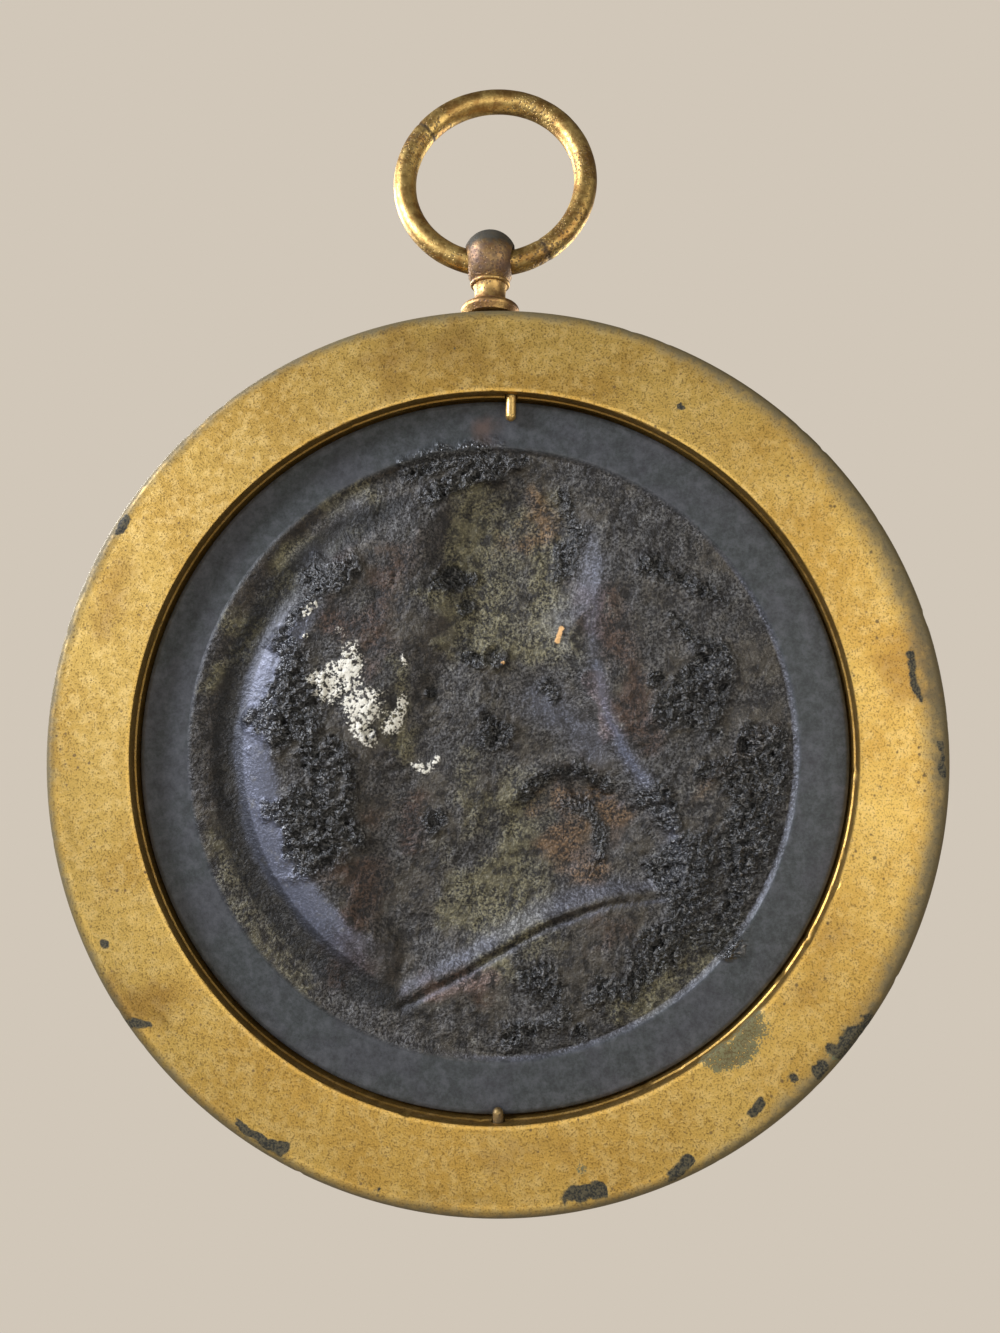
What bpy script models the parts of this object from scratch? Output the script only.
"""A round relief plaque to hang on a wall: a cast medallion with a portrait bust in a turned ring frame.

The plaque is drawn lying on its face, as a maker would work on it: X to the right, Y towards the hanging
ring and Z up out of the back. An empty then stands it up, so that it hangs plumb from the inside of its
ring, with the relief towards -Y, the hollow back towards +Y, and the origin where a hook holds the ring.
Sizes are millimetres here and metres in the model.
"""

import math

import bmesh
import bpy
import numpy as np
from mathutils import Matrix, Vector
from mathutils.geometry import delaunay_2d_cdt

MM = 0.001
CONTACT_GAP = 0.3  # left between pieces that touch

# Medallion: a flat border, a sunk field on the back and a bust raised on the front
DISC_RADIUS = 71.6
DISC_BORDER = 9.5
BORDER_THICKNESS = 3.6
DISC_EDGE_BREAK = 0.3
STEP_DEPTH = 1.3
STEP_RUN_SHORT = 1.4
STEP_RUN_LONG = 7.0
STEP_LONG_SIDE = 190.0  # degrees, where the step slopes most gently
FRONT_STEP_DEPTH = 0.5
FRONT_STEP_RUN = 1.2
LEAST_WALL = 1.4

# Bust: every length of the figure is a share of its height
CROWN_MARGIN = 3.0
TRUNCATION_MARGIN = 9.3
RELIEF_HEIGHT = 3.9
HOLLOW_DEPTH = 3.3

# Frame
DISC_PLAY = 0.7
FRAME_WIDTH = 17.7
FRAME_THICKNESS = 12.0
DISC_SINK = 4.0
LIP_WIDTH = 3.4
INNER_CHAMFER = 0.4
BACK_EDGE_RADIUS = 2.0
FRONT_BEAD_RADIUS = 2.4
FRONT_BEAD_INSET = 0.6
EDGE_BAND_GAP = 0.8  # from the top of the front bead to the plain band round the edge
FRONT_FILLET = 0.8
FILLET_LEVEL = 1.1
SIGHT_BEAD_RADIUS = 1.3
SIGHT_BEAD_DROP = 1.0
SIGHT_FLAT = 2.0
COVE_RISE = 0.8

# Two pins across the border hold the medallion in
PIN_RADIUS = 1.1
TOP_PIN_REACH = 5.3
BOTTOM_PIN_REACH = 2.6
PIN_ROOT = 4.5
PIN_HOLE_CLEARANCE = 0.25
TOP_PIN_ANGLE = 86.4
BOTTOM_PIN_ANGLE = -88.5
TOP_PIN_LEAN = 2.5

# Ring and the knob that it passes through
RING_RADIUS = 19.5
WIRE_RADIUS = 2.5
RING_LEAN = 5.3
RING_SIDE_SHIFT = 0.9
BALL_RADIUS = 5.7
BALL_TOP = 5.45  # the ball is an egg: it reaches this far up from its widest place,
BALL_DROP = 7.5  # and would reach this far down if the bead didn't end it
BALL_SEAT = 5.55  # from the top of the bead to the ball's widest place
BALL_FLAT = 5.25
BORE_DROP = 1.1
BORE_CLEARANCE = 0.35
NECK_RADIUS = 3.25
NECK_HEIGHT = 3.7
BEAD_RADIUS = 4.2
BEAD_HEIGHT = 1.0
COLLAR_RADIUS = 6.15
COLLAR_HEIGHT = 3.2

# How finely the round and the carved shapes are drawn
FRAME_SIDES = 72
DISC_SIDES = 72
RING_SIDES = 40
WIRE_SIDES = 10
TURNED_SIDES = 20
PIN_SIDES = 12
FACE_POINT_SPACING = 1.5
DRESS_POINT_SPACING = 2.5
FIELD_POINT_SPACING = 7.0
HOLLOW_POINT_SPACING = 4.4
LOOP_STEP = 2.3
INNER_LOOP = 1.3  # a second line inside each outline keeps its edge even

# Levels above the surface that the plaque lies on
OPENING_RADIUS = DISC_RADIUS + DISC_PLAY
OUTER_RADIUS = OPENING_RADIUS + FRAME_WIDTH
SIGHT_RADIUS = OPENING_RADIUS - LIP_WIDTH
FIELD_RADIUS = DISC_RADIUS - DISC_BORDER
DISC_BACK = FRAME_THICKNESS - DISC_SINK
DISC_FRONT = DISC_BACK - BORDER_THICKNESS
FIELD_BACK = DISC_BACK - STEP_DEPTH
FIELD_FRONT = DISC_FRONT + FRONT_STEP_DEPTH
MID_LEVEL = FRAME_THICKNESS / 2
PIN_LEVEL = DISC_BACK + CONTACT_GAP + PIN_RADIUS
BUST_HEIGHT = 2 * FIELD_RADIUS - CROWN_MARGIN - TRUNCATION_MARGIN
BUST_UNIT = BUST_HEIGHT / 100
BUST_MIDDLE = (TRUNCATION_MARGIN - CROWN_MARGIN) / 2

# The knob stands on the rim. The ring's wire lies in the middle of the bore.
COLLAR_FOOT = OUTER_RADIUS + CONTACT_GAP
BALL_CENTRE = COLLAR_FOOT + COLLAR_HEIGHT + NECK_HEIGHT + BEAD_HEIGHT + BALL_SEAT
BORE_CENTRE = BALL_CENTRE - BORE_DROP


def ring_rise(side):
    """How high the ring's centreline is above its lowest point, at a place beside the knob's axis."""
    across = side - RING_SIDE_SHIFT
    return RING_RADIUS - math.sqrt(RING_RADIUS**2 - across**2)


BORE_SAG = max(ring_rise(BALL_FLAT), ring_rise(-BALL_FLAT))
BORE_RADIUS = WIRE_RADIUS + BORE_SAG / 2 + BORE_CLEARANCE
RING_FOOT = -BORE_SAG / 2  # the ring's lowest centreline point, from the bore's centre
RING_TOP_INSIDE = (
    RING_FOOT + RING_RADIUS + math.sqrt((RING_RADIUS - WIRE_RADIUS) ** 2 - RING_SIDE_SHIFT**2)
)
HOOK_Y = BORE_CENTRE + RING_TOP_INSIDE * math.cos(math.radians(RING_LEAN))
HOOK_Z = MID_LEVEL - RING_TOP_INSIDE * math.sin(math.radians(RING_LEAN))

# The head, in shares of its own height from chin to crown, facing +X, with 0 on the ear's axis
HEAD_HEIGHT = 35.0  # hundredths of the bust's height
HEAD_ORIGIN = (1.5, 18.4)
HEAD_TILT = 6.0
FACE_PROFILE = [
    (0.30, 0.905), (0.385, 0.80), (0.425, 0.68), (0.432, 0.62), (0.412, 0.555), (0.452, 0.46),
    (0.520, 0.365), (0.505, 0.325), (0.448, 0.308), (0.466, 0.255), (0.440, 0.215), (0.452, 0.18),
    (0.418, 0.13), (0.435, 0.065), (0.39, 0.005),
]  # fmt: skip
JAW_LINE = [(0.39, 0.005), (0.27, 0.03), (0.13, 0.12), (0.03, 0.27), (-0.03, 0.42)]
# The head's lower edge, hidden where the neck and the hair rise over it
HEAD_UNDER = [(0.39, 0.005), (0.27, 0.03), (0.13, 0.05), (0.0, 0.04), (-0.10, 0.0), (-0.20, -0.02)]
FACE_BACK = [(0.30, 0.905), (0.0, 0.8), (-0.03, 0.42)]
HAIR_FRONT = [(0.30, 0.905), (0.24, 0.80), (0.17, 0.70), (0.12, 0.58), (0.04, 0.52), (-0.03, 0.42)]
HAIR_NAPE = [(-0.03, 0.42), (-0.10, 0.26), (-0.16, 0.10), (-0.20, -0.02)]
HAIR_BACK = [
    (-0.20, -0.02), (-0.42, 0.02), (-0.50, 0.18), (-0.50, 0.38), (-0.505, 0.56), (-0.47, 0.74),
    (-0.36, 0.90), (-0.18, 0.99), (0.02, 1.005), (0.18, 0.975), (0.30, 0.905),
]  # fmt: skip
EAR_CENTRE = (-0.045, 0.45)
EAR_HALF = (0.055, 0.105)

# The neck, the cloak and its brooch, in hundredths of the bust's height from the field's centre
NECK = [
    (-12, 33), (8, 33), (12.5, 24), (13.6, 17), (16.8, 13.2), (22, 1), (16, -12), (-16, -10), (-22, 3),
    (-18.6, 13), (-15.5, 20),
]  # fmt: skip
CLOAK_FRONT = [(17.2, 13.2), (20, 8), (23.5, 1), (28.5, -7), (33.4, -14.5), (36.4, -22), (35, -29.5)]
TRUNCATION = [(35, -29.5), (24, -30.7), (10, -35.3), (-4, -43.8), (-17, -50.8)]
CLOAK_BACK = [(-17, -50.8), (-25, -43.5), (-29.5, -32), (-30.5, -18), (-28.5, -6), (-24, 4), (-18.6, 13.6)]
COLLAR_EDGE = [(-18.6, 13.6), (-13.5, 9), (-5.5, 4.5), (3.5, 2.2), (11.5, 5), (17.2, 13.2)]
BROOCH_CENTRE = (18.5, -8.5)
BROOCH_RADIUS = 4.3

# The hollow behind the bust, in the same units: an oval behind the head, then soft shoulders and breast
HOLLOW_HEAD_CENTRE = (2.6, 31.0)
HOLLOW_HEAD_HALF = (18.0, 18.3)
HOLLOW_HEAD_FROM = -48.0  # degrees, at the throat
HOLLOW_HEAD_TO = 208.0  # at the nape
HOLLOW_DRESS = [
    (-18.5, 13), (-22.5, 4), (-26.5, -8), (-28.4, -21), (-27, -34), (-22.5, -43.5), (-17, -49.2),
    (-10, -45.8), (-3.5, -42.2), (2.5, -38.4), (9, -34.6), (16, -31.6), (23, -30), (32.5, -29),
    (35.4, -23.5), (32.8, -15.8), (27.6, -7.6), (22.8, 1.5), (18.6, 9),
]  # fmt: skip
HOLLOW_RUN_BACK = 13.0
HOLLOW_RUN_FRONT = 7.0
HOLLOW_RUN_FACE = 10.0
HOLLOW_RUN_CUT = 3.0
HOLLOW_CUT_REACH = 9.0  # how far from the cut its short slope gives way to the long ones
HOLLOW_FLOOR = 0.82  # the hollow's usual share of its full depth
# Deeper and shallower places in the hollow: centre, radius, and share of the hollow's depth
HOLLOW_POCKETS = [
    ((3, 37), 13, 0.25),
    ((17, -12), 8, 0.30),
    ((-1, 8), 9, -0.30),
    ((-14, -14), 12, -0.18),
    ((8, -18), 10, 0.12),
]

# Carved strokes on the face: from, to, width, height in hundredths of the head's height
FACE_STROKES = [
    ((0.41, 0.615), (0.22, 0.625), 0.032, 1.7),
    ((0.31, 0.535), (0.25, 0.53), 0.060, -2.6),
    ((0.335, 0.525), (0.285, 0.522), 0.030, 2.6),
    ((0.26, 0.40), (0.17, 0.43), 0.090, 1.5),
    ((0.23, 0.25), (0.20, 0.21), 0.070, -1.2),
    ((0.43, 0.345), (0.41, 0.35), 0.030, 1.8),
    ((0.45, 0.215), (0.355, 0.212), 0.014, -1.7),
    ((0.43, 0.245), (0.38, 0.235), 0.022, 1.1),
    ((0.43, 0.185), (0.38, 0.188), 0.022, 1.2),
    ((0.39, 0.055), (0.36, 0.06), 0.050, 1.4),
    ((0.27, 0.03), (0.06, 0.22), 0.030, -1.6),
]
HAIR_LIFT = 0.55
LOCK_CENTRE = (-0.12, 0.62)
LOCK_COUNT = 13
LOCK_SPIRAL = 16.0
LOCK_HEIGHT = 0.42
EDGE_RUN = 0.6  # how far the wall round each layer leans out
LOCK_FADE = 2.5  # the locks, folds and face fade out this near to their edges
FOLD_FADE = 3.0
FACE_FADE = 1.5
COLLAR_ROLL = 1.0
COLLAR_ROLL_WIDTH = 2.6
FOLD_COUNT = 17
FOLD_START = 12.0
FOLD_HEIGHT = 0.6
FOLD_SWEEP = 9.0
# Each layer's share of the relief at its edge and at its top, and the width of its swell in heads
HEAD_LAYER = (0.30, 0.80, 0.34)
NECK_LAYER = (0.22, 0.46, 0.20)
CLOAK_LAYER = (0.36, 0.72, 0.26)
BROOCH_EDGE = 0.86
BROOCH_RIM = 0.15
EAR_HEIGHT = 0.30


def clear_scene():
    """Removes what the start-up file holds."""
    for item in list(bpy.data.objects):
        bpy.data.objects.remove(item, do_unlink=True)


def finish(name, colour, roughness, metallic):
    """A plain metal finish."""
    material = bpy.data.materials.new(name)
    material.use_nodes = True
    shader = material.node_tree.nodes["Principled BSDF"]
    shader.inputs["Base Color"].default_value = (*colour, 1.0)
    shader.inputs["Roughness"].default_value = roughness
    shader.inputs["Metallic"].default_value = metallic
    return material


def smooth_run(points, step):
    """Points about one step apart on the smooth curve through a run of points, without its last one."""
    padded = [points[0], *points, points[-1]]
    found = []
    for before, start, end, after in zip(padded, padded[1:], padded[2:], padded[3:]):
        before, start, end, after = (np.array(p, float) for p in (before, start, end, after))
        count = max(1, round(float(np.linalg.norm(end - start)) / step))
        for t in np.arange(count) / count:
            bend = (
                2 * start
                + (end - before) * t
                + (2 * before - 5 * start + 4 * end - after) * t**2
                + (3 * start - before - 3 * end + after) * t**3
            )
            found.append(bend / 2)
    return found


def closed_loop(runs, step):
    """A closed outline of smooth runs that meet at corners, as an array of points."""
    return np.array([point for run in runs for point in smooth_run(run, step)])


def round_loop(points, step):
    """A closed outline through the points with no corner anywhere."""
    wrapped = [points[-1], *points, points[0], points[1]]
    dense = []
    for before, start, end, after in zip(wrapped, wrapped[1:], wrapped[2:], wrapped[3:]):
        dense += smooth_run([before, start, end, after], step)[
            max(1, round(math.dist(before, start) / step)) :
        ][: max(1, round(math.dist(start, end) / step))]
    return np.array(dense)


def on_disc(point):
    """A place in hundredths of the bust's height, as millimetres from the medallion's centre."""
    return (point[0] * BUST_UNIT, point[1] * BUST_UNIT + BUST_MIDDLE)


def on_head(point):
    """A place in shares of the head's height, as millimetres from the medallion's centre."""
    tilt = math.radians(HEAD_TILT)
    forward, up = point[0] * HEAD_HEIGHT, point[1] * HEAD_HEIGHT
    return on_disc(
        (
            HEAD_ORIGIN[0] + forward * math.cos(tilt) + up * math.sin(tilt),
            HEAD_ORIGIN[1] - forward * math.sin(tilt) + up * math.cos(tilt),
        )
    )


def inside_depth(points, loop):
    """How far each point lies inside a closed outline; negative outside."""
    starts, ends = loop, np.roll(loop, -1, axis=0)
    least = np.full(len(points), 1e9)
    crossings = np.zeros(len(points), bool)
    for start, end in zip(starts, ends):
        along = end - start
        share = np.clip((points - start) @ along / max(float(along @ along), 1e-12), 0, 1)
        away = points - (start + share[:, None] * along)
        least = np.minimum(least, np.hypot(away[:, 0], away[:, 1]))
        if start[1] != end[1]:
            spans = (start[1] > points[:, 1]) != (end[1] > points[:, 1])
            meet = start[0] + (points[:, 1] - start[1]) * along[0] / along[1]
            crossings ^= spans & (points[:, 0] < meet)
    return np.where(crossings, least, -least)


def stroke(points, start, end, width):
    """1 on the line from start to end, fading with the distance from it."""
    start, end = np.array(start, float), np.array(end, float)
    along = end - start
    share = np.clip((points - start) @ along / max(float(along @ along), 1e-12), 0, 1)
    away = points - (start + share[:, None] * along)
    return np.exp(-(away**2).sum(1) / width**2)


def ease(value):
    """0 below 0, 1 above 1 and smooth between."""
    value = np.clip(value, 0, 1)
    return value * value * (3 - 2 * value)


class Bust:
    """The portrait's outlines, and its height above the field."""

    def __init__(self, step):
        self.face = closed_loop(
            [
                [on_head(p) for p in FACE_PROFILE],
                [on_head(p) for p in JAW_LINE],
                [on_head(p) for p in reversed(FACE_BACK)],
            ],
            step,
        )
        self.hair = closed_loop(
            [[on_head(p) for p in run] for run in (HAIR_FRONT, HAIR_NAPE, HAIR_BACK)], step
        )
        self.whole_head = closed_loop(
            [[on_head(p) for p in run] for run in (FACE_PROFILE, HEAD_UNDER, HAIR_BACK)], step
        )
        self.neck = closed_loop([[on_disc(p) for p in [*NECK, NECK[0]]]], step)
        self.cloak = closed_loop(
            [
                [on_disc(p) for p in run]
                for run in (CLOAK_FRONT, TRUNCATION, CLOAK_BACK, COLLAR_EDGE)
            ],
            step,
        )
        self.brooch = np.array(on_disc(BROOCH_CENTRE))
        self.brooch_radius = BROOCH_RADIUS * BUST_UNIT
        self.ear = np.array(on_head(EAR_CENTRE))
        self.head = HEAD_HEIGHT * BUST_UNIT

    def layer(self, depth, shares):
        """A raised layer: a short wall up to its edge height, then a rounded rise to its top."""
        edge, top, run = shares[0] * RELIEF_HEIGHT, shares[1] * RELIEF_HEIGHT, shares[2] * self.head
        wall = np.clip(1 + depth / EDGE_RUN, 0, 1)
        swell = np.sqrt(np.clip(1 - (1 - np.clip(depth / run, 0, 1)) ** 2, 0, 1))
        return wall * (edge + (top - edge) * swell)

    def locks(self, points, depth):
        """Rows of locks that turn round the head from the crown."""
        middle = np.array(on_head(LOCK_CENTRE))
        away = points - middle
        turn = np.arctan2(away[:, 1], away[:, 0])
        out = np.hypot(away[:, 0], away[:, 1]) / self.head
        wave = np.sin(LOCK_COUNT * turn + LOCK_SPIRAL * out)
        return LOCK_HEIGHT * wave * ease(depth / LOCK_FADE)

    def folds(self, points, depth):
        """Folds of the cloak that gather at the brooch."""
        away = points - self.brooch
        turn = np.arctan2(away[:, 1], away[:, 0])
        out = np.hypot(away[:, 0], away[:, 1])
        wave = np.sin(FOLD_COUNT * turn + out / (FOLD_SWEEP * BUST_UNIT))
        return FOLD_HEIGHT * wave * ease(depth / FOLD_FADE) * ease(out / (FOLD_START * BUST_UNIT) - 1)

    def height(self, points):
        """The front's height above the field at each point."""
        top = RELIEF_HEIGHT
        face_in = inside_depth(points, self.face)
        hair_in = inside_depth(points, self.hair)
        cloak_in = inside_depth(points, self.cloak)
        head_in = inside_depth(points, self.whole_head)
        head = self.layer(head_in, HEAD_LAYER)
        for start, end, width, amount in FACE_STROKES:
            mark = stroke(points, on_head(start), on_head(end), width * self.head)
            head += mark * amount / 100 * self.head * ease(face_in / FACE_FADE + 0.6)
        head += HAIR_LIFT * ease(1 + hair_in / EDGE_RUN) * ease(1 + head_in / EDGE_RUN)
        head += self.locks(points, hair_in)
        neck = self.layer(inside_depth(points, self.neck), NECK_LAYER)
        cloak = self.layer(cloak_in, CLOAK_LAYER)
        cloak += self.folds(points, cloak_in)
        collar = [on_disc(p) for p in COLLAR_EDGE]
        roll = [stroke(points, a, b, COLLAR_ROLL_WIDTH * BUST_UNIT) for a, b in zip(collar, collar[1:])]
        cloak += COLLAR_ROLL * np.maximum.reduce(roll) * ease(1 + cloak_in / EDGE_RUN)
        from_ear = (points - self.ear) / (np.array(EAR_HALF) * self.head)
        ear_out = np.hypot(from_ear[:, 0], from_ear[:, 1])
        helix = np.exp(-(((ear_out - 0.8) / 0.28) ** 2))
        ear = EAR_HEIGHT * top * (helix - 0.5 * np.exp(-((ear_out / 0.5) ** 2))) * ease(1.6 - ear_out)
        from_brooch = np.hypot(*(points - self.brooch).T) / self.brooch_radius
        dome = np.sqrt(np.clip(1 - from_brooch**2, 0, 1))
        brooch = top * (BROOCH_EDGE + (1 - BROOCH_EDGE) * dome)
        body = np.maximum.reduce([head, neck, cloak])
        rim = np.clip((1 + BROOCH_RIM - from_brooch) / BROOCH_RIM, 0, 1)
        body += (np.maximum(brooch, body) - body) * rim
        return np.clip(body + ear, 0, top)


def hollow_head():
    """The oval behind the head, from the throat over the crown to the nape, in hundredths of the bust."""
    turns = np.radians(np.linspace(HOLLOW_HEAD_FROM, HOLLOW_HEAD_TO, 12))
    (across, up), (half_across, half_up) = HOLLOW_HEAD_CENTRE, HOLLOW_HEAD_HALF
    return [(across + half_across * math.cos(t), up + half_up * math.sin(t)) for t in turns]


def hollow_run(points):
    """The width of the hollow's side slope: short at the throat and breast, shortest at the cut edge."""
    across = ease((points[:, 0] / BUST_UNIT + 15) / 35)
    by_face = ease((points[:, 1] / BUST_UNIT - 12) / 12)
    front = HOLLOW_RUN_FRONT + (HOLLOW_RUN_FACE - HOLLOW_RUN_FRONT) * by_face
    run = HOLLOW_RUN_BACK + (front - HOLLOW_RUN_BACK) * across
    places = [on_disc(p) for p in TRUNCATION]
    near = np.maximum.reduce(
        [stroke(points, a, b, HOLLOW_CUT_REACH * BUST_UNIT) for a, b in zip(places, places[1:])]
    )
    return (run + (HOLLOW_RUN_CUT - run) * near) * BUST_UNIT


def hollow_depth(points, loop):
    """How deep the back is sunk behind the bust, below its field."""
    depth = ease(inside_depth(points, loop) / hollow_run(points))
    share = np.full(len(points), HOLLOW_FLOOR)
    for centre, radius, amount in HOLLOW_POCKETS:
        share += amount * stroke(points, on_disc(centre), on_disc(centre), radius * BUST_UNIT)
    return HOLLOW_DEPTH * depth * np.clip(share, 0, 1)


def step_run(turn):
    """The width of the slope inside the border at each angle."""
    toward = np.clip(np.cos(turn - math.radians(STEP_LONG_SIDE)), 0, 1)
    return STEP_RUN_SHORT + (STEP_RUN_LONG - STEP_RUN_SHORT) * toward**1.5


def front_level(points, bust):
    """The level of the medallion's front at each point."""
    out = np.hypot(points[:, 0], points[:, 1])
    sunk = ease((FIELD_RADIUS - out) / FRONT_STEP_RUN)
    field = DISC_FRONT + (FIELD_FRONT - DISC_FRONT) * sunk
    return field - bust.height(points)


def back_level(points, hollow, front):
    """The level of the medallion's back, never nearer to the front than the least wall."""
    out = np.hypot(points[:, 0], points[:, 1])
    turn = np.arctan2(points[:, 1], points[:, 0])
    sunk = STEP_DEPTH * ease((FIELD_RADIUS - out) / step_run(turn))
    return np.maximum(DISC_BACK - sunk - hollow_depth(points, hollow), front + LEAST_WALL)


def circle(radius, sides, turn=0.0):
    """Points round a circle."""
    angles = (np.arange(sides) + turn) * 2 * math.pi / sides
    return np.stack([radius * np.cos(angles), radius * np.sin(angles)], 1)


def fill_points(spacing, half, keep):
    """A triangular pattern of points over a square, where keep says so."""
    rows = np.arange(-half, half, spacing * math.sqrt(3) / 2)
    columns = np.arange(-half, half, spacing)
    grid = [(c + (i % 2) * spacing / 2, r) for i, r in enumerate(rows) for c in columns]
    grid = np.array(grid)
    return grid[keep(grid)]


def net(rim, loops, loose):
    """Triangles over the disc: the rim's points come first, and each loop's lines are kept as edges."""
    points, edges = [tuple(p) for p in rim], []
    for loop in loops:
        first = len(points)
        points += [tuple(p) for p in loop]
        edges += [(first + i, first + (i + 1) % len(loop)) for i in range(len(loop))]
    points += [tuple(p) for p in loose]
    made = delaunay_2d_cdt([Vector(p) for p in points], edges, [], 0, 0.02)
    places, faces, sources = made[0], made[2], made[3]
    where = {old: new for new, olds in enumerate(sources) for old in olds}
    return np.array([tuple(p) for p in places]), faces, [where[i] for i in range(len(rim))]


def front_net(bust):
    """The front's triangles: fine on the face, coarser on the dress and the field."""
    clear = 0.45 * DRESS_POINT_SPACING
    foot = [grown(loop, EDGE_RUN) for loop in (bust.whole_head, bust.cloak)]
    foot += [grown(loop, -INNER_LOOP) for loop in (bust.whole_head, bust.cloak)]
    brooch = bust.brooch + circle(bust.brooch_radius, 16)
    brooch_foot = bust.brooch + circle(bust.brooch_radius * (1 + BROOCH_RIM), 16, 0.5)

    def off_lines(grid, spacing):
        lines = (bust.face, bust.hair, bust.cloak, *foot, brooch, brooch_foot)
        return np.minimum.reduce([np.abs(inside_depth(grid, loop)) for loop in lines]) > 0.45 * spacing

    def on_face(grid):
        return (inside_depth(grid, bust.face) > 0) & off_lines(grid, FACE_POINT_SPACING)

    def on_dress(grid):
        loops = (bust.hair, bust.neck, bust.cloak)
        depth = np.maximum.reduce([inside_depth(grid, loop) for loop in loops])
        off_face = inside_depth(grid, bust.face) < -clear
        return (depth > clear) & off_face & off_lines(grid, DRESS_POINT_SPACING)

    def on_field(grid):
        loops = (bust.face, bust.hair, bust.neck, bust.cloak)
        depth = np.maximum.reduce([inside_depth(grid, loop) for loop in loops])
        out = np.hypot(grid[:, 0], grid[:, 1])
        return (depth < -0.5 * FIELD_POINT_SPACING) & (out < FIELD_RADIUS - 2 * FRONT_STEP_RUN)

    half = DISC_RADIUS
    loose = np.concatenate(
        [
            fill_points(FACE_POINT_SPACING, half, on_face),
            fill_points(DRESS_POINT_SPACING, half, on_dress),
            fill_points(FIELD_POINT_SPACING, half, on_field),
        ]
    )
    rings = [
        circle(FIELD_RADIUS, DISC_SIDES // 2),
        circle(FIELD_RADIUS - FRONT_STEP_RUN, DISC_SIDES // 2),
    ]
    rim = circle(DISC_RADIUS - DISC_EDGE_BREAK, DISC_SIDES)
    return net(rim, [*rings, bust.face, bust.hair, bust.cloak, *foot, brooch, brooch_foot], loose)


def grown(loop, width):
    """An outline moved outwards by a width."""
    along = np.roll(loop, -1, axis=0) - np.roll(loop, 1, axis=0)
    along /= np.maximum(np.hypot(along[:, 0], along[:, 1]), 1e-9)[:, None]
    area = np.sum(loop[:, 0] * np.roll(loop[:, 1], -1) - loop[:, 1] * np.roll(loop[:, 0], -1))
    outward = np.stack([along[:, 1], -along[:, 0]], 1) * np.sign(area)
    return loop + outward * width


def back_net(hollow):
    """The back's triangles."""

    def inside(grid):
        out = np.hypot(grid[:, 0], grid[:, 1])
        turn = np.arctan2(grid[:, 1], grid[:, 0])
        clear = 0.45 * HOLLOW_POINT_SPACING
        off_loops = np.minimum(*(np.abs(inside_depth(grid, loop)) for loop in (hollow, slope))) > clear
        return (out < FIELD_RADIUS - step_run(turn) - clear) & off_loops

    slope = grown(hollow, -HOLLOW_RUN_CUT * BUST_UNIT)

    turns = np.arange(DISC_SIDES) * 2 * math.pi / DISC_SIDES
    foot = circle(1.0, DISC_SIDES) * (FIELD_RADIUS - step_run(turns))[:, None]
    rim = circle(DISC_RADIUS - DISC_EDGE_BREAK, DISC_SIDES)
    loose = fill_points(HOLLOW_POINT_SPACING, DISC_RADIUS, inside)
    return net(rim, [circle(FIELD_RADIUS, DISC_SIDES), foot, hollow, slope], loose)


def make_medallion(material):
    """The cast medallion, with its front and back as two nets joined by the edge."""
    bust = Bust(LOOP_STEP)
    hollow = round_loop([on_disc(p) for p in [*hollow_head(), *HOLLOW_DRESS]], LOOP_STEP)
    mesh = bmesh.new()
    front, front_faces, front_rim = front_net(bust)
    back, back_faces, back_rim = back_net(hollow)
    front_z = front_level(front, bust)
    back_z = back_level(back, hollow, front_level(back, bust))
    lower = [mesh.verts.new((p[0], p[1], z)) for p, z in zip(front, front_z)]
    upper = [mesh.verts.new((p[0], p[1], z)) for p, z in zip(back, back_z)]
    edge = circle(DISC_RADIUS, DISC_SIDES)
    edge_low = [mesh.verts.new((*p, DISC_FRONT + DISC_EDGE_BREAK)) for p in edge]
    edge_high = [mesh.verts.new((*p, DISC_BACK - DISC_EDGE_BREAK)) for p in edge]
    for face in front_faces:
        mesh.faces.new([lower[i] for i in reversed(face)])
    for face in back_faces:
        mesh.faces.new([upper[i] for i in face])
    for i in range(DISC_SIDES):
        j = (i + 1) % DISC_SIDES
        bands = [[lower[k] for k in front_rim], edge_low, edge_high, [upper[k] for k in back_rim]]
        for low, high in zip(bands, bands[1:]):
            mesh.faces.new((low[i], low[j], high[j], high[i]))
    return put_in_scene("medallion", mesh, material, math.radians(35))


def put_in_scene(name, mesh, material, crease):
    """Makes an object of a mesh drawn in millimetres, smooth but for its creases."""
    mesh.transform(Matrix.Scale(MM, 4))
    bmesh.ops.recalc_face_normals(mesh, faces=mesh.faces)
    data = bpy.data.meshes.new(name)
    mesh.to_mesh(data)
    mesh.free()
    data.materials.append(material)
    data.shade_smooth()
    data.set_sharp_from_angle(angle=crease)
    item = bpy.data.objects.new(name, data)
    bpy.context.scene.collection.objects.link(item)
    return item


def arc(centre, radius, start, end, count):
    """Points on an arc of a profile, from one angle to another in degrees."""
    angles = np.radians(np.linspace(start, end, count))
    return [(centre[0] + radius * math.cos(a), centre[1] + radius * math.sin(a)) for a in angles]


def turned(profile, sides):
    """A closed solid turned about Z from a closed profile of radius and height."""
    mesh = bmesh.new()
    ring = [mesh.verts.new((radius, 0, height)) for radius, height in profile]
    edges = [mesh.edges.new((a, b)) for a, b in zip(ring, ring[1:] + ring[:1])]
    bmesh.ops.spin(
        mesh, geom=ring + edges, cent=(0, 0, 0), axis=(0, 0, 1), angle=2 * math.pi,
        steps=sides, use_merge=True, use_duplicate=False,
    )  # fmt: skip
    bmesh.ops.remove_doubles(mesh, verts=mesh.verts, dist=1e-4)
    return mesh


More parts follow.
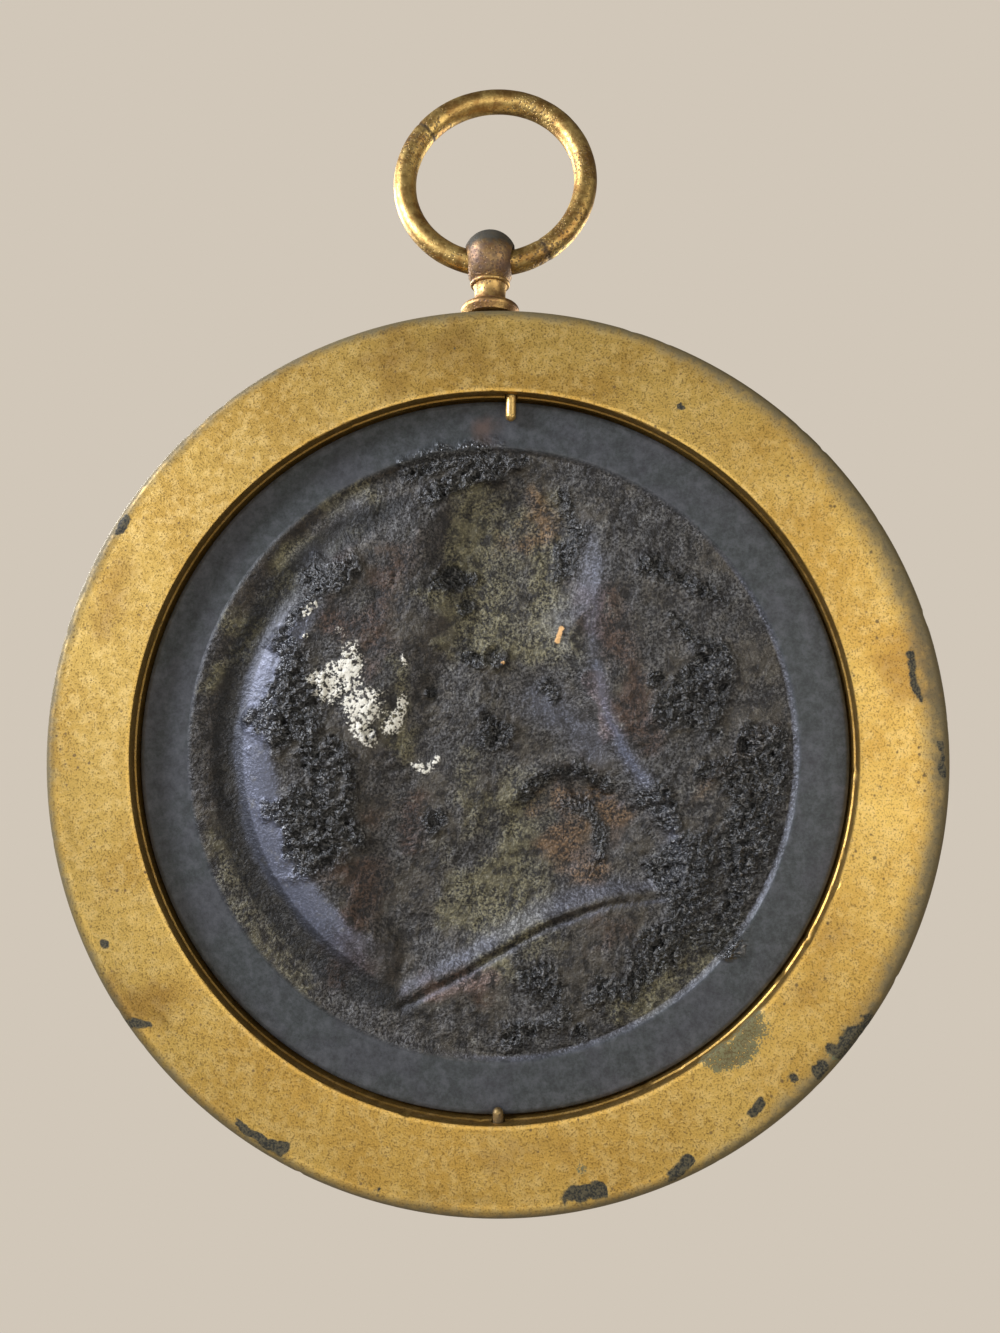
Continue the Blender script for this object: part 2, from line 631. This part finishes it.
def frame_profile():
    """The frame's section, from the back's inner edge outwards and round the front to the seat."""
    shoulder = DISC_FRONT - CONTACT_GAP
    bead = (OUTER_RADIUS - FRONT_BEAD_RADIUS - FRONT_BEAD_INSET, FRONT_BEAD_RADIUS)
    bead_top = 2 * FRONT_BEAD_RADIUS
    fillet = bead[0] - FRONT_BEAD_RADIUS - FRONT_FILLET
    sight = (SIGHT_RADIUS + SIGHT_BEAD_RADIUS, shoulder - SIGHT_BEAD_DROP - SIGHT_BEAD_RADIUS)
    flat = sight[0] + SIGHT_BEAD_RADIUS + SIGHT_FLAT
    flat_level = sight[1] + 0.7 * SIGHT_BEAD_RADIUS
    cove = []
    for share in (0.3, 0.7):
        radius = fillet + (flat - fillet) * share
        straight = FILLET_LEVEL + (flat_level - FILLET_LEVEL) * share
        cove.append((radius, straight + COVE_RISE * math.sin(math.pi * share)))
    back_edge = (OUTER_RADIUS - BACK_EDGE_RADIUS, FRAME_THICKNESS - BACK_EDGE_RADIUS)
    return [
        (OPENING_RADIUS, FRAME_THICKNESS - INNER_CHAMFER),
        (OPENING_RADIUS + INNER_CHAMFER, FRAME_THICKNESS),
        *arc(back_edge, BACK_EDGE_RADIUS, 90, 0, 3),
        (OUTER_RADIUS, bead_top + EDGE_BAND_GAP),
        (bead[0] + 0.8 * FRONT_BEAD_RADIUS, 0.96 * bead_top),
        *arc(bead, FRONT_BEAD_RADIUS, 20, -180, 5),
        (bead[0] - FRONT_BEAD_RADIUS, FILLET_LEVEL),
        (fillet, FILLET_LEVEL),
        *cove,
        (flat, flat_level),
        (sight[0] + SIGHT_BEAD_RADIUS, flat_level),
        *arc(sight, SIGHT_BEAD_RADIUS, 0, -180, 4),
        (SIGHT_RADIUS, shoulder),
        (OPENING_RADIUS, shoulder),
    ]


def pin_places():
    """Each pin's name, its angle round the frame, how far it is bent sideways, and its reach."""
    return [
        ("pin_top", TOP_PIN_ANGLE, TOP_PIN_LEAN, TOP_PIN_REACH),
        ("pin_bottom", BOTTOM_PIN_ANGLE, 0.0, BOTTOM_PIN_REACH),
    ]


def pin_matrix(angle, lean):
    """Where a pin lies: its own Z runs inwards from the frame's wall, where it is bent a little."""
    turn = math.radians(angle)
    foot = Vector((math.cos(turn) * OPENING_RADIUS, math.sin(turn) * OPENING_RADIUS, PIN_LEVEL)) * MM
    inwards = Matrix.Rotation(turn + math.radians(180 + lean), 4, "Z") @ Matrix.Rotation(math.pi / 2, 4, "Y")
    return Matrix.Translation(foot) @ inwards


def make_pins(material):
    """The two short round pins, each with its root in a hole in the frame's wall."""
    pins = []
    for name, angle, lean, reach in pin_places():
        tip = arc((0, reach - PIN_RADIUS), PIN_RADIUS, 90, 0, 4)
        root = [(PIN_RADIUS, -PIN_ROOT + CONTACT_GAP), (0, -PIN_ROOT + CONTACT_GAP)]
        mesh = bmesh.new()
        line = [mesh.verts.new((radius, 0, height)) for radius, height in [*tip, *root]]
        edges = [mesh.edges.new(pair) for pair in zip(line, line[1:])]
        bmesh.ops.spin(
            mesh, geom=line + edges, cent=(0, 0, 0), axis=(0, 0, 1), angle=2 * math.pi,
            steps=PIN_SIDES, use_merge=True, use_duplicate=False,
        )  # fmt: skip
        bmesh.ops.remove_doubles(mesh, verts=mesh.verts, dist=1e-4)
        pin = put_in_scene(name, mesh, material, math.radians(40))
        pin.matrix_world = pin_matrix(angle, lean)
        pins.append(pin)
    return pins


def cutter(name, mesh):
    """A guide that cuts other pieces and isn't one itself."""
    mesh.transform(Matrix.Scale(MM, 4))
    bmesh.ops.recalc_face_normals(mesh, faces=mesh.faces)
    data = bpy.data.meshes.new(name)
    mesh.to_mesh(data)
    mesh.free()
    item = bpy.data.objects.new(name, data)
    item.hide_render = True
    item.display_type = "WIRE"
    bpy.context.scene.collection.objects.link(item)
    return item


def cut(item, tool):
    """Cuts a tool out of a piece."""
    modifier = item.modifiers.new(tool.name, "BOOLEAN")
    modifier.operation = "DIFFERENCE"
    modifier.solver = "EXACT"
    modifier.object = tool


def round_bar(radius, low, high, sides):
    """A plain bar along Z."""
    mesh = bmesh.new()
    bmesh.ops.create_cone(
        mesh, cap_ends=True, segments=sides, radius1=radius, radius2=radius, depth=high - low
    )
    bmesh.ops.translate(mesh, vec=(0, 0, (high + low) / 2), verts=mesh.verts)
    return mesh


def make_frame(material):
    """The turned frame, open at the back to take the medallion, with a hole for each pin."""
    frame = put_in_scene("frame", turned(frame_profile(), FRAME_SIDES), material, math.radians(35))
    tools = []
    for name, angle, lean, reach in pin_places():
        radius = PIN_RADIUS + PIN_HOLE_CLEARANCE
        tool = cutter(name + "_hole", round_bar(radius, -PIN_ROOT, reach, PIN_SIDES))
        tool.matrix_world = pin_matrix(angle, lean)
        cut(frame, tool)
        tools.append(tool)
    return frame, tools


def knob_profile():
    """The knob's half section, from its foot to the top of the ball, as radius and height over the foot."""
    ball = BALL_CENTRE - COLLAR_FOOT
    bead_low = COLLAR_HEIGHT + NECK_HEIGHT
    lowest = -math.degrees(math.asin(BALL_SEAT / BALL_DROP))
    egg = []
    for turn in np.radians(np.linspace(lowest, 90, 9)):
        reach = BALL_TOP if turn > 0 else BALL_DROP
        egg.append((BALL_RADIUS * math.cos(turn), ball + reach * math.sin(turn)))
    return [
        (0, 0),
        (COLLAR_RADIUS * 0.86, 0),
        (COLLAR_RADIUS, COLLAR_HEIGHT * 0.4),
        (COLLAR_RADIUS, COLLAR_HEIGHT * 0.66),
        (COLLAR_RADIUS * 0.77, COLLAR_HEIGHT * 0.96),
        (NECK_RADIUS * 1.12, COLLAR_HEIGHT),
        (NECK_RADIUS, COLLAR_HEIGHT + NECK_HEIGHT * 0.2),
        (NECK_RADIUS * 1.12, bead_low),
        (BEAD_RADIUS, bead_low + BEAD_HEIGHT * 0.3),
        (BEAD_RADIUS, bead_low + BEAD_HEIGHT * 0.75),
        *egg,
    ]


def make_knob(material):
    """The turned knob, with flats on its ball and the bore that the ring passes through."""
    mesh = bmesh.new()
    line = [mesh.verts.new((radius, 0, height)) for radius, height in knob_profile()]
    edges = [mesh.edges.new(pair) for pair in zip(line, line[1:])]
    bmesh.ops.spin(
        mesh, geom=line + edges, cent=(0, 0, 0), axis=(0, 0, 1), angle=2 * math.pi,
        steps=TURNED_SIDES, use_merge=True, use_duplicate=False,
    )  # fmt: skip
    bmesh.ops.remove_doubles(mesh, verts=mesh.verts, dist=1e-4)
    knob = put_in_scene("knob", mesh, material, math.radians(40))
    knob.matrix_world = Matrix.Translation(Vector((0, COLLAR_FOOT, MID_LEVEL)) * MM) @ Matrix.Rotation(
        -math.pi / 2, 4, "X"
    )
    tools = []
    bore = cutter("knob_bore", round_bar(BORE_RADIUS, -2 * BALL_RADIUS, 2 * BALL_RADIUS, TURNED_SIDES))
    bore.matrix_world = Matrix.Translation(Vector((0, BORE_CENTRE, MID_LEVEL)) * MM) @ Matrix.Rotation(
        math.pi / 2, 4, "Y"
    )
    tools.append(bore)
    for side in (-1, 1):
        block = bmesh.new()
        bmesh.ops.create_cube(block, size=1.0)
        bmesh.ops.scale(block, vec=(BALL_RADIUS, 4 * BALL_RADIUS, 4 * BALL_RADIUS), verts=block.verts)
        flat = cutter("knob_flat_right" if side > 0 else "knob_flat_left", block)
        centre = Vector((side * (BALL_FLAT + BALL_RADIUS / 2), BALL_CENTRE + BALL_RADIUS, MID_LEVEL))
        flat.matrix_world = Matrix.Translation(centre * MM)
        tools.append(flat)
    for tool in tools:
        cut(knob, tool)
    return knob, tools


def make_ring(material):
    """The round wire ring, with its origin on the bore's axis, which it leans about."""
    centre = Vector((RING_SIDE_SHIFT, RING_FOOT + RING_RADIUS, 0))
    mesh = bmesh.new()
    section = [mesh.verts.new((RING_RADIUS + x, 0, z)) for x, z in circle(WIRE_RADIUS, WIRE_SIDES)]
    edges = [mesh.edges.new((a, b)) for a, b in zip(section, section[1:] + section[:1])]
    bmesh.ops.spin(
        mesh, geom=section + edges, cent=(0, 0, 0), axis=(0, 0, 1), angle=2 * math.pi,
        steps=RING_SIDES, use_merge=True, use_duplicate=False,
    )  # fmt: skip
    bmesh.ops.remove_doubles(mesh, verts=mesh.verts, dist=1e-4)
    bmesh.ops.translate(mesh, vec=centre, verts=mesh.verts)
    ring = put_in_scene("ring", mesh, material, math.radians(60))
    lean = Matrix.Rotation(-math.radians(RING_LEAN), 4, "X")
    ring.matrix_world = Matrix.Translation(Vector((0, BORE_CENTRE, MID_LEVEL)) * MM) @ lean
    return ring


def hang(items):
    """Stands the plaque up from its face, with the place that a hook holds at the origin."""
    upright = Matrix(((-1, 0, 0, 0), (0, 0, 1, 0), (0, 1, 0, 0), (0, 0, 0, 1)))
    bench = bpy.data.objects.new("hook_point", None)
    bpy.context.scene.collection.objects.link(bench)
    bench.matrix_world = upright @ Matrix.Translation(-Vector((0, HOOK_Y, HOOK_Z)) * MM)
    for item in items:
        item.parent = bench


def main():
    clear_scene()
    gilt = finish("gilt", (0.66, 0.45, 0.14), 0.42, 1.0)
    worn_gilt = finish("worn_gilt", (0.46, 0.31, 0.10), 0.38, 1.0)
    tarnished = finish("tarnished", (0.24, 0.16, 0.09), 0.5, 1.0)
    bronze = finish("dark_bronze", (0.055, 0.055, 0.058), 0.62, 0.6)
    frame, frame_tools = make_frame(gilt)
    knob, knob_tools = make_knob(tarnished)
    pieces = [make_medallion(bronze), frame, knob, make_ring(worn_gilt), *make_pins(gilt)]
    hang([*pieces, *frame_tools, *knob_tools])


main()
